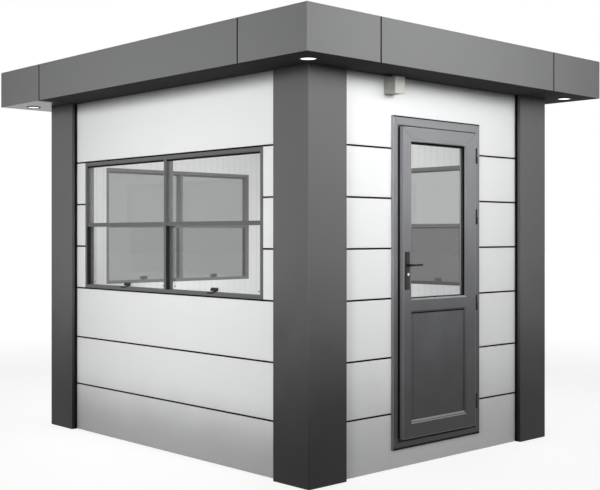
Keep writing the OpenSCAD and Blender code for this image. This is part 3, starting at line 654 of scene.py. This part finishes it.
# each seal's outline is carried round its rectangle, the lines run level across the frame
def makeDoorSeals():
    s = sealSet
    thick, lip, bend = s["glassThick"], s["lipShare"], s["roundShare"]
    reveal, skin = glassFront - s["reveal"], glassFront - thick
    nose = glassFront - thick * s["noseShare"]
    outline = [(0, reveal), (lip, reveal), (lip, skin), (bend, skin),
               (1, nose), (1, glassFront), (0, glassFront)]
    outside = loopGrid("front", glassRect, outline, s["glassWidths"])
    addPiece("doorGlassGasketAndShade", "ring", [outside], "door", "sealRubber")
    band, cover = s["insideBand"], glassBack + thick
    outline = [(0, glassBack), (band, glassBack), (band - thick, cover), (0, cover)]
    inside = loopGrid("front", glassRect, outline)
    addPiece("doorGlassSealInside", "ring", [inside], "door", "sealRubber")
    bands = []
    for face, cover in ((lowFront, lowFront - s["lowThick"]), (lowBack, lowBack + s["lowThick"])):
        outline = [(0, face), (1, face), (bend, cover), (0, cover)]
        bands.append(loopGrid("front", lowRect, outline, s["lowWidths"]))
    addPiece("doorPanelGasketAndShade", "ring", bands, "door", "sealRubber")
    thick, start, end = s["edgeThick"], frameDepth + s["edgeStart"], frameDepth + s["edgeWide"]
    edge = loopGrid("front", leafRect, [(0, start), (-thick, frameDepth + thick), (-thick, end), (0, end)])
    addPiece("leafEdgeSeal", "ring", [edge], "door", "blackPlastic")
    thick, clear = s["lineThick"], -s["lineClear"]
    lines = []
    for z, out, wide in ((frameHigh[2], 1, s["headLine"]), (frameLow[2], -1, s["footLine"])):
        near, past = z - out * wide, z + out * thick
        outline = [(near, frameDepth), (near, frameDepth - thick), (past, frameDepth - thick),
                   (past, clear), (z, clear), (z, frameDepth)]
        lines.append(levelGrid("front", frameLow[0], frameHigh[0], outline))
    addPiece("doorFrameLines", "bar", lines, "cabin", "sealRubber")


# door beads and caps, outlines in millimetres: across from the bead's low edge or the cap's side, and depth
# behind the face that each list names
beadSet = {
    "slope": 0.010, "reedDepth": 0.0011, "backingThick": 0.001, "backingInset": 0.001,
    "headTall": 0.0165, "headSkin": [(16, 1.8), (13, 0.8), (4, 0.8), (1, 2), (0, 6)],
    "headGlass": [(0, -1), (16, -1)],
    "footSkin": [(0.5, 1.8), (3, 0.8), (7.5, 2.2)],
    "footPanel": [(7.5, -2.2), (12, -2.2), (12, -7.2), (19.5, -4.7), (21.5, -1.2), (21.5, -0.2), (0.5, -0.2)],
    "sillInset": 0.0004, "sillThick": 0.0016,
    "capNear": [(3.5, 1), (3.5, -0.16), (3, -0.4), (1, -0.4), (-0.4, 0), (-0.8, 1.2)],
    "capFar": [(-0.8, -1.6), (-0.24, -0.6), (1, -0.6)],
}


# beads run level between the leaf's stiles with ends on its slope, the backing is a flat sheet, caps go
# round; the beads and caps take the lighter copies of the foil, a painted highlight where they catch the
# light
def makeDoorBeads():
    b = beadSet
    flare = ([leafDepth, leafDepth + b["slope"]], [b["slope"], 0])

    def addBead(name, outline, finish):
        bead = levelGrid("front", glassLow[0], glassHigh[0], outline, flare)
        addPiece(name, "bar", [bead], "door", finish)
    low = glassHigh[2] + b["slope"] - b["headTall"]
    head = [placed(b["headSkin"], low, leafDepth), placed(b["headGlass"], low, glassFront)]
    addBead("doorHeadBead", np.concatenate(head), "doorBeadFoil")
    inset, near = b["backingInset"], lowFront + b["reedDepth"]
    wide, far = lowHigh[0] - lowLow[0] - 2 * inset, near + b["backingThick"]
    outline = [(0, near), (wide, near), (wide, far), (0, far)]
    sheet = uprightGrid("front", lowLow[0] + inset, 1, lowLow[2] + inset, lowHigh[2] - inset, outline)
    addPiece("doorPanelBacking", "bar", [sheet], "door", "doorPanelFoil")
    low = lowLow[2] - b["slope"]
    foot = np.concatenate([placed(b["footSkin"], low, leafDepth), placed(b["footPanel"], low, lowFront)])
    footBead = levelGrid("front", lowLow[0], lowHigh[0], foot, flare)
    addPiece("doorFootBead", "bar", [footBead], "door", "doorBeadHighlight")
    # a thin plate over the slope of the sill bead, in the lighter copy: a painted highlight
    inset, thick = b["sillInset"], b["sillThick"]
    low, top = glassLow[2] - b["slope"] + inset, glassLow[2] - inset
    rise = leafDepth + top - low
    addBead("doorSillHighlight", [(low, leafDepth), (top, rise), (top, rise + thick), (low, leafDepth + thick)],
            "doorBeadHighlight")
    # the caps wrap the edges of the leaf and the frame in the lighter copy: a painted highlight
    caps = (("leafEdgeHighlight", "door", leafRect, leafDepth, frameDepth),
            ("frameEdgeHighlight", "cabin", frameRect, frameDepth, 0))
    for name, body, rect, near, far in caps:
        outline = np.concatenate([placed(b["capNear"], 0, near), placed(b["capFar"], 0, far)])
        addPiece(name, "ring", [loopGrid("front", rect, outline)], body, "doorEdgeHighlight")


makeDoorSeals()
makeDoorBeads()
print("door trim made")

# windows: levels and widths in metres, outlines in millimetres of reach or height and depth behind the
# panel face
windowSet = {
    "frameFace": 0.022, "mullion": 0.022,
    "bottom": 1.006, "top": 1.875, "railLow": 1.4295, "railHigh": 1.4515,
    "halfWide": {"left": 0.945, "right": 0.945, "back": 0.695},
    "beadOutside": [(-6.5, 2.2), (0, 2.2), (0, 0.5), (2.5, 0.5), (4, 3), (4, 7.8), (-6.5, 7.8)],
    "beadInside": [(-6.5, 14.2), (3, 14.2), (3, 19.5), (1.5, 21), (0, 21), (0, 19.8), (-6.5, 19.8)],
    "liner": [(0, -2), (2.4, -2), (2.4, 1.25), (1.5, 2.55), (1.5, 19.45), (2.4, 20.75), (2.4, 24), (0, 24)],
    "guide": [(-6.5, 0), (1, 0), (1, 5), (-6.5, 5)], "guideDepths": (0.0262, 0.0388), "guideGap": 0.001,
    "headGasketAndShade": [(0.3, 1.2), (-12.5, 1.2), (-13.5, 3), (-13.5, 7.9), (0.3, 7.9)],
    "stop": [(0, 4), (2.7, 3.7), (4.05, 2.6), (4.5, 1), (4.5, 0), (0, 0)], "stopSteps": 20,
    "stopSide": {"left": 0.050, "right": 0.050, "back": 0.018}, "stopRise": 0.020, "lowerPane": 0.032,
    "keeper": [(-9, -4), (-9, -5.4), (1.4, -5.4), (1.4, 14), (0, 14), (0, -4)], "keeperHalf": 0.032,
    "sillCover": [(1, 55.8), (1, 57.4), (24, 57.4), (24, 46), (21.8, 46), (21.8, 55.8)],
    "sashSeal": [(0.2, 37.8), (0.2, 42), (-8, 42), (-9, 37.8)],
}


# left and right edge of each bay between the frame and the upright
def windowBays(side):
    outer, half = windowSet["halfWide"][side] - windowSet["frameFace"], windowSet["mullion"] / 2
    return (-outer, -half), (half, outer)


# grey beads round the fixed panes, black liners in the lower half of the outer track, grey guides in the
# inner track, a black strip under the head that is partly a gasket and partly painted shade, stops on the
# sliding panes and a keeper plate under each latch
def makeWindowTrim(side):
    w = windowSet
    bays = windowBays(side)
    ends = [(x, k) for x0, x1 in bays for x, k in ((x0, 1), (x1, -1))]
    sill, head = w["bottom"] + w["frameFace"], w["top"] - w["frameFace"]
    for name, outline in (("BeadOutside", w["beadOutside"]), ("BeadInside", w["beadInside"])):
        beads = [loopGrid(side, (x0, x1, w["railHigh"], head), placed(outline)) for x0, x1 in bays]
        addPiece(side + name, "ring", beads, "cabin", "windowGrey")
    liners = [uprightGrid(side, x, k, sill, w["railLow"], placed(w["liner"])) for x, k in ends]
    addPiece(side + "TrackLiner", "bar", liners, "cabin", "blackPlastic")
    spans = ((sill, w["railLow"] - w["guideGap"]), (w["railHigh"] + w["guideGap"], head))
    guides = [uprightGrid(side, x, k, z0, z1, placed(w["guide"], 0, depth))
              for x, k in ends for depth in w["guideDepths"] for z0, z1 in spans]
    addPiece(side + "TrackGuides", "bar", guides, "cabin", "windowGrey")
    gaskets = [levelGrid(side, x0, x1, placed(w["headGasketAndShade"], head)) for x0, x1 in bays]
    addPiece(side + "HeadGasketAndShade", "bar", gaskets, "cabin", "sealRubber")
    axis, outward = {"left": ("x", -1), "right": ("x", 1), "back": ("y", 1)}[side]
    dome = placed(w["stop"]) * (1, outward)
    inset, level = w["stopSide"][side], sill + w["stopRise"]
    spots = [wallPoint(side, x + k * inset, level, w["lowerPane"]) for x, k in ends]
    stops = turnedGrids(spots, dome, axis, w["stopSteps"])
    addPiece(side + "PaneStops", "turned", stops, "cabin", "blackPlastic", True)
    half = w["keeperHalf"]
    middles = [(x0 + x1) / 2 for x0, x1 in bays]
    keepers = [levelGrid(side, x - half, x + half, placed(w["keeper"], sill)) for x in middles]
    addPiece(side + "LatchKeepers", "bar", keepers, "cabin", "blackPlastic")


# black cover on the room side of the right window's sill, and a seal under the top rail of its sliding panes
def makeRightSeals():
    w = windowSet
    cover, seal = placed(w["sillCover"], w["bottom"]), placed(w["sashSeal"], w["railLow"])
    for name, outline in (("rightSillCover", cover), ("rightSashSeal", seal)):
        strips = [levelGrid("right", x0, x1, outline) for x0, x1 in windowBays("right")]
        addPiece(name, "bar", strips, "cabin", "sealRubber")


for side in ("left", "right", "back"):
    makeWindowTrim(side)
makeRightSeals()
print("window trim made")

# black strip at the foot of each post's flank, where it meets the wall panels: reach and depth in millimetres
stripSet = {
    "outline": [(0, -14), (1.5, -14), (3, -11.2), (3, -0.3), (0, -0.3)],
    "bottom": 0.006, "top": 2.2995,
}


# the outline is carried straight up beside both ends of each wall
def makePostStrips():
    outline = placed(stripSet["outline"])
    strips = [uprightGrid(wall, k * end, -k, stripSet["bottom"], stripSet["top"], outline)
              for wall, end in wallEnd.items() for k in (-1, 1)]
    addPiece("postStrips", "bar", strips, "cabin", "sealRubber")


makePostStrips()
print("post strips made")

# black joint strips: level ones in the grooves between the panels, folded ones in the joints of the fascia
jointSet = {
    "levels": (0.325, 0.655, 1.001, 1.294, 1.587, 1.880), "half": 0.0048,
    "groove": [(-4.8, 1.7), (-3.8, 0.7), (3.8, 0.7), (4.8, 1.7), (4.8, 12.5), (-4.8, 12.5)],
    "reach": 0.295, "sheet": 0.006, "inset": 0.0005, "wallGap": 0.005,
}


# the groove's outline runs level between the posts, broken where the door or a window stands
def makePanelJoints():
    w = windowSet
    strips = []
    for wall, end in wallEnd.items():
        opening = (frameLow[0], frameHigh[0])
        if wall != "front":
            opening = (-w["halfWide"][wall], w["halfWide"][wall])
        for z in jointSet["levels"]:
            broken = wall == "front" or w["bottom"] < z < w["top"]
            runs = ((-end, opening[0]), (opening[1], end)) if broken else ((-end, end),)
            strips += [levelGrid(wall, left, right, placed(jointSet["groove"], z)) for left, right in runs]
    addPiece("panelJointStrips", "bar", strips, "cabin", "sealRubber")


# an L of the sheet's thickness, down the fascia and in under the soffit, as wide as the joint
def makeFasciaJoints():
    j = jointSet
    half, wallSide = j["half"], j["wallGap"]
    out, low, top = j["inset"] - j["reach"], roofLevel["soffit"] + j["inset"], roofLevel["top"] - j["inset"]
    within, over = out + j["sheet"], low + j["sheet"]
    outline = [(top, out), (low, out), (low, wallSide), (over, wallSide), (over, within), (top, within)]
    folded = [levelGrid(wall, k * end - half, k * end + half, outline)
              for wall, end in wallEnd.items() for k in (-1, 1)]
    addPiece("fasciaJointStrips", "bar", folded, "cabin", "sealRubber")


makePanelJoints()
makeFasciaJoints()
print("joint strips made")

# welded laps of the roof sheet: places across X, reach along Y, outline in millimetres
roofSet = {
    "laps": (-0.45, 0.45), "reach": 1.545, "steps": 9,
    "outline": [(-40, 0), (-37.5, 2.5), (37.5, 2.5), (40, 0), (40, -1), (-40, -1)],
}


# a flat strip with sloped edges, its outline of X and height carried along Y
def makeRoofLaps():
    y = np.linspace(-roofSet["reach"], roofSet["reach"], roofSet["steps"])[:, None]
    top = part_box("roof_panel")[1][2]
    laps = []
    for middle in roofSet["laps"]:
        x, z = placed(roofSet["outline"], middle, top).T
        laps.append(np.stack(np.broadcast_arrays(x, y, z), -1))
    addPiece("roofLaps", "bar", laps, "cabin", "roofLap")


makeRoofLaps()
print("roof laps made")

corners = [(sx, sy) for sx in (-1, 1) for sy in (-1, 1)]


# a ring rolled from part of a circle, and a lens whose dome falls with the square of the radius, both turned
# about Z
def makeLights():
    s = lightSet
    spots = [(sx * s["x"], sy * s["y"], roofLevel["soffit"]) for sx, sy in corners]
    turn = np.linspace(0, 2 * np.pi, s["rollSteps"], endpoint=False)
    mid, half = (s["lens"] + s["ring"]) / 2, (s["ring"] - s["lens"]) / 2 + s["ringOver"]
    drop = -s["ringDrop"] * np.maximum(np.sin(turn), -s["ringSeat"])
    rolled = np.stack([mid + half * np.cos(turn), drop], -1)
    bezels = turnedGrids(spots, rolled, "z", s["steps"])
    ring = addPiece("downlightBezels", "ring", bezels, "cabin", "blackPlastic", True)
    share = np.linspace(0, 1, s["domeSteps"])
    bowl = np.stack([s["lens"] * share, -s["dome"] * (1 - share ** 2)], -1)
    outline = np.concatenate([bowl, [(s["lens"], s["lensDeep"]), (0, s["lensDeep"])]])
    bowls = turnedGrids(spots, outline, "z", s["steps"])
    lens = addPiece("downlightBowls", "turned", bowls, "cabin", "lightLens", True)
    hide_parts("downlight_rings")
    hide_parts("downlight_lenses")


makeLights()
print("downlights made")

# screws on the handle plates and the hinge feet: the dome is in shares of radius and rise
screwSet = {
    "radius": 0.0042, "rise": 0.0016, "steps": 20,
    "dome": [(0, 1), (0.25, 1), (0.3, 0.5), (0.55, 0.5), (0.6, 1), (0.85, 0.7), (1, 0), (0, 0)],
    "plateEdge": 0.014,
    "hingeLevels": (0.324, 0.945, 1.488, 1.873), "hingeDrops": (-0.037, -0.013),
    "hingeSide": 0.0065, "hingeDeep": 0.008,
}


# a dome with a round recess, turned about Y, facing out or in
def addScrews(name, spots, facing, body):
    dome = np.array(screwSet["dome"]) * (screwSet["radius"], facing * screwSet["rise"])
    addPiece(name, "turned", turnedGrids(spots, dome, "y", screwSet["steps"]), body, "blackCoat", True)


def makeScrews():
    s = screwSet
    plateLow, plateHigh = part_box("door_plates")
    middle = (plateLow[0] + plateHigh[0]) / 2
    heights = (plateLow[2] + s["plateEdge"], plateHigh[2] - s["plateEdge"])
    for name, y, facing in (("plateScrewsOutside", plateLow[1], -1), ("plateScrewsInside", plateHigh[1], 1)):
        addScrews(name, [(middle, y, z) for z in heights], facing, "door")
    hingeLow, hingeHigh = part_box("door_frame_hinges")
    x, y = hingeHigh[0] - s["hingeSide"], hingeLow[1] + s["hingeDeep"]
    spots = [(x, y, z + drop) for z in s["hingeLevels"] for drop in s["hingeDrops"]]
    addScrews("hingeScrews", spots, -1, "cabin")


makeScrews()
print("screws made")

# stage, light and world; a lamp that is not mirrored lights the part but shows in no reflection
stageSet = {
    "size": 120.0, "steps": 5, "level": -0.001, "floorColour": 0.30, "ambient": 0.2,
    "glowNear": 0.81, "glowFar": 0.96, "near": 2.5, "far": 9.0,
}
lampSet = {
    "keyLeft": {"place": (-9.8, -4.4, 3.8), "aim": (-1.0, -0.5, 1.8), "size": 3.0, "spread": 35, "watts": 30},
    "left": {"place": (-9.6, 0.6, 3.2), "aim": (-1.1, 0.1, 1.4), "size": 3.0, "spread": 28, "watts": 8},
    "leftBack": {"place": (-8.0, 5.0, 3.0), "aim": (-1.1, 0.4, 1.6), "size": 3.0, "spread": 35, "watts": 5.5,
                 "mirrored": False},
    "front": {"place": (-0.6, -9.4, 3.7), "aim": (-0.2, -1.3, 2.0), "size": 3.0, "spread": 35, "watts": 15},
    "frontHigh": {"place": (-0.6, -9.4, 3.7), "aim": (-0.6, -1.3, 2.6), "size": 2.0, "spread": 24,
                  "watts": 7},
    "frontRight": {"place": (4.6, -7.6, 4.1), "aim": (0.0, -1.4, 2.1), "size": 3.0, "spread": 40,
                   "watts": 13},
    "rightMid": {"place": (4.8, 0.4, 2.6), "aim": (1.1, 0.0, 1.7), "size": 2.4, "spread": 80, "watts": 28,
                 "mirrored": False},
    "backMid": {"place": (-0.4, 5.2, 2.6), "aim": (0.0, 1.3, 1.7), "size": 2.4, "spread": 80, "watts": 26,
                "mirrored": False},
    "roomUp": {"place": (0.0, 0.1, 1.1), "aim": (0.0, 0.1, 2.2), "size": 1.2, "watts": 6, "mirrored": False},
    "roomBack": {"place": (-0.2, -0.3, 0.8), "aim": (-0.5, 1.27, 1.0), "size": 0.8, "watts": 3,
                 "mirrored": False},
    "roomDown": {"place": (0.0, 0.1, 2.27), "aim": (0.0, 0.1, 0.0), "size": 1.6, "watts": 6.5,
                 "mirrored": False},
}
spotSet = {"watts": 1.2, "colour": (1.0, 0.80, 0.58), "cone": 100, "blend": 1.0, "size": 0.03, "drop": 0.012}


# 1 where the camera, a mirror-like surface or glass looks, 0 for light that bounces about
def seenMask(tree):
    path = addNode(tree, "ShaderNodeLightPath").outputs
    first = mathNode(tree, "MAXIMUM", path["Is Camera Ray"], path["Is Glossy Ray"])
    return mathNode(tree, "MAXIMUM", first, path["Is Transmission Ray"])


# grey floor that keeps the shadow, with a pale glow for the eye that rises away from the middle
def floorMaterial():
    mat = bpy.data.materials.new("floorPale")
    mat.use_nodes = True
    tree = mat.node_tree
    tree.nodes.clear()
    out = addNode(tree, "ShaderNodeOutputMaterial")
    diffuse = addNode(tree, "ShaderNodeBsdfDiffuse")
    setInputs(tree, diffuse, {"Color": (stageSet["floorColour"],) * 3 + (1,)})
    away = addNode(tree, "ShaderNodeVectorMath", operation="LENGTH")  # distance from the middle of the floor
    setInputs(tree, away, {0: addNode(tree, "ShaderNodeTexCoord").outputs["Object"]})
    rise = rampNode(tree, away.outputs["Value"], stageSet["near"], stageSet["far"],
                    stageSet["glowNear"], stageSet["glowFar"])
    glow = addNode(tree, "ShaderNodeEmission")
    setInputs(tree, glow, {"Strength": mathNode(tree, "MULTIPLY", seenMask(tree), rise)})
    add = addNode(tree, "ShaderNodeAddShader")
    setInputs(tree, add, {0: diffuse.outputs[0], 1: glow.outputs[0]})
    setInputs(tree, out, {"Surface": add.outputs[0]})
    return mat


# flat sheet: both parameters run straight across the ground
def makeFloor():
    across = np.linspace(-stageSet["size"] / 2, stageSet["size"] / 2, stageSet["steps"])
    u, v = np.meshgrid(across, across)
    points = np.stack([u, v, np.full_like(u, stageSet["level"])], -1)
    floor = gridMesh("floor", points[None], False, False, False)
    floor.data.materials.append(floorMaterial())


def makeLamp(name, look):
    data = bpy.data.lights.new(name, "AREA")
    data.size = look["size"]
    data.energy = look["watts"]
    data.spread = math.radians(look.get("spread", 180))
    lamp = bpy.data.objects.new(name, data)
    lamp.location = look["place"]
    aim = np.array(look["aim"]) - np.array(look["place"])
    flat = math.hypot(aim[0], aim[1])
    lamp.rotation_euler = (math.atan2(flat, -aim[2]), 0, math.atan2(-aim[0], aim[1]))
    lamp.visible_camera = False
    lamp.visible_transmission = False
    lamp.visible_glossy = look.get("mirrored", True)
    scene.collection.objects.link(lamp)


# warm light that falls from each downlight onto the posts
def makeSpots():
    for k, (sx, sy) in enumerate(corners):
        data = bpy.data.lights.new(f"spot{k}", "SPOT")
        data.energy = spotSet["watts"]
        data.color = spotSet["colour"]
        data.spot_size = math.radians(spotSet["cone"])
        data.spot_blend = spotSet["blend"]
        data.shadow_soft_size = spotSet["size"]
        lamp = bpy.data.objects.new(f"spot{k}", data)
        lamp.location = (sx * lightSet["x"], sy * lightSet["y"], roofLevel["soffit"] - spotSet["drop"])
        lamp.visible_camera = False
        lamp.visible_glossy = False
        scene.collection.objects.link(lamp)


# soft even light on the part, plain white where the world itself is seen
def makeWorld():
    world = bpy.data.worlds.new("world")
    scene.world = world
    world.use_nodes = True
    tree = world.node_tree
    tree.nodes.clear()
    out = addNode(tree, "ShaderNodeOutputWorld")
    soft = addNode(tree, "ShaderNodeBackground")
    setInputs(tree, soft, {"Color": (1, 1, 1, 1), "Strength": stageSet["ambient"]})
    white = addNode(tree, "ShaderNodeBackground")
    setInputs(tree, white, {"Color": (1, 1, 1, 1)})
    mix = addNode(tree, "ShaderNodeMixShader")
    setInputs(tree, mix, {0: seenMask(tree), 1: soft.outputs[0], 2: white.outputs[0]})
    setInputs(tree, out, {"Surface": mix.outputs[0]})


makeFloor()
makeWorld()
for lampName, lampLook in lampSet.items():
    makeLamp(lampName, lampLook)
makeSpots()
print("stage and lamps set")
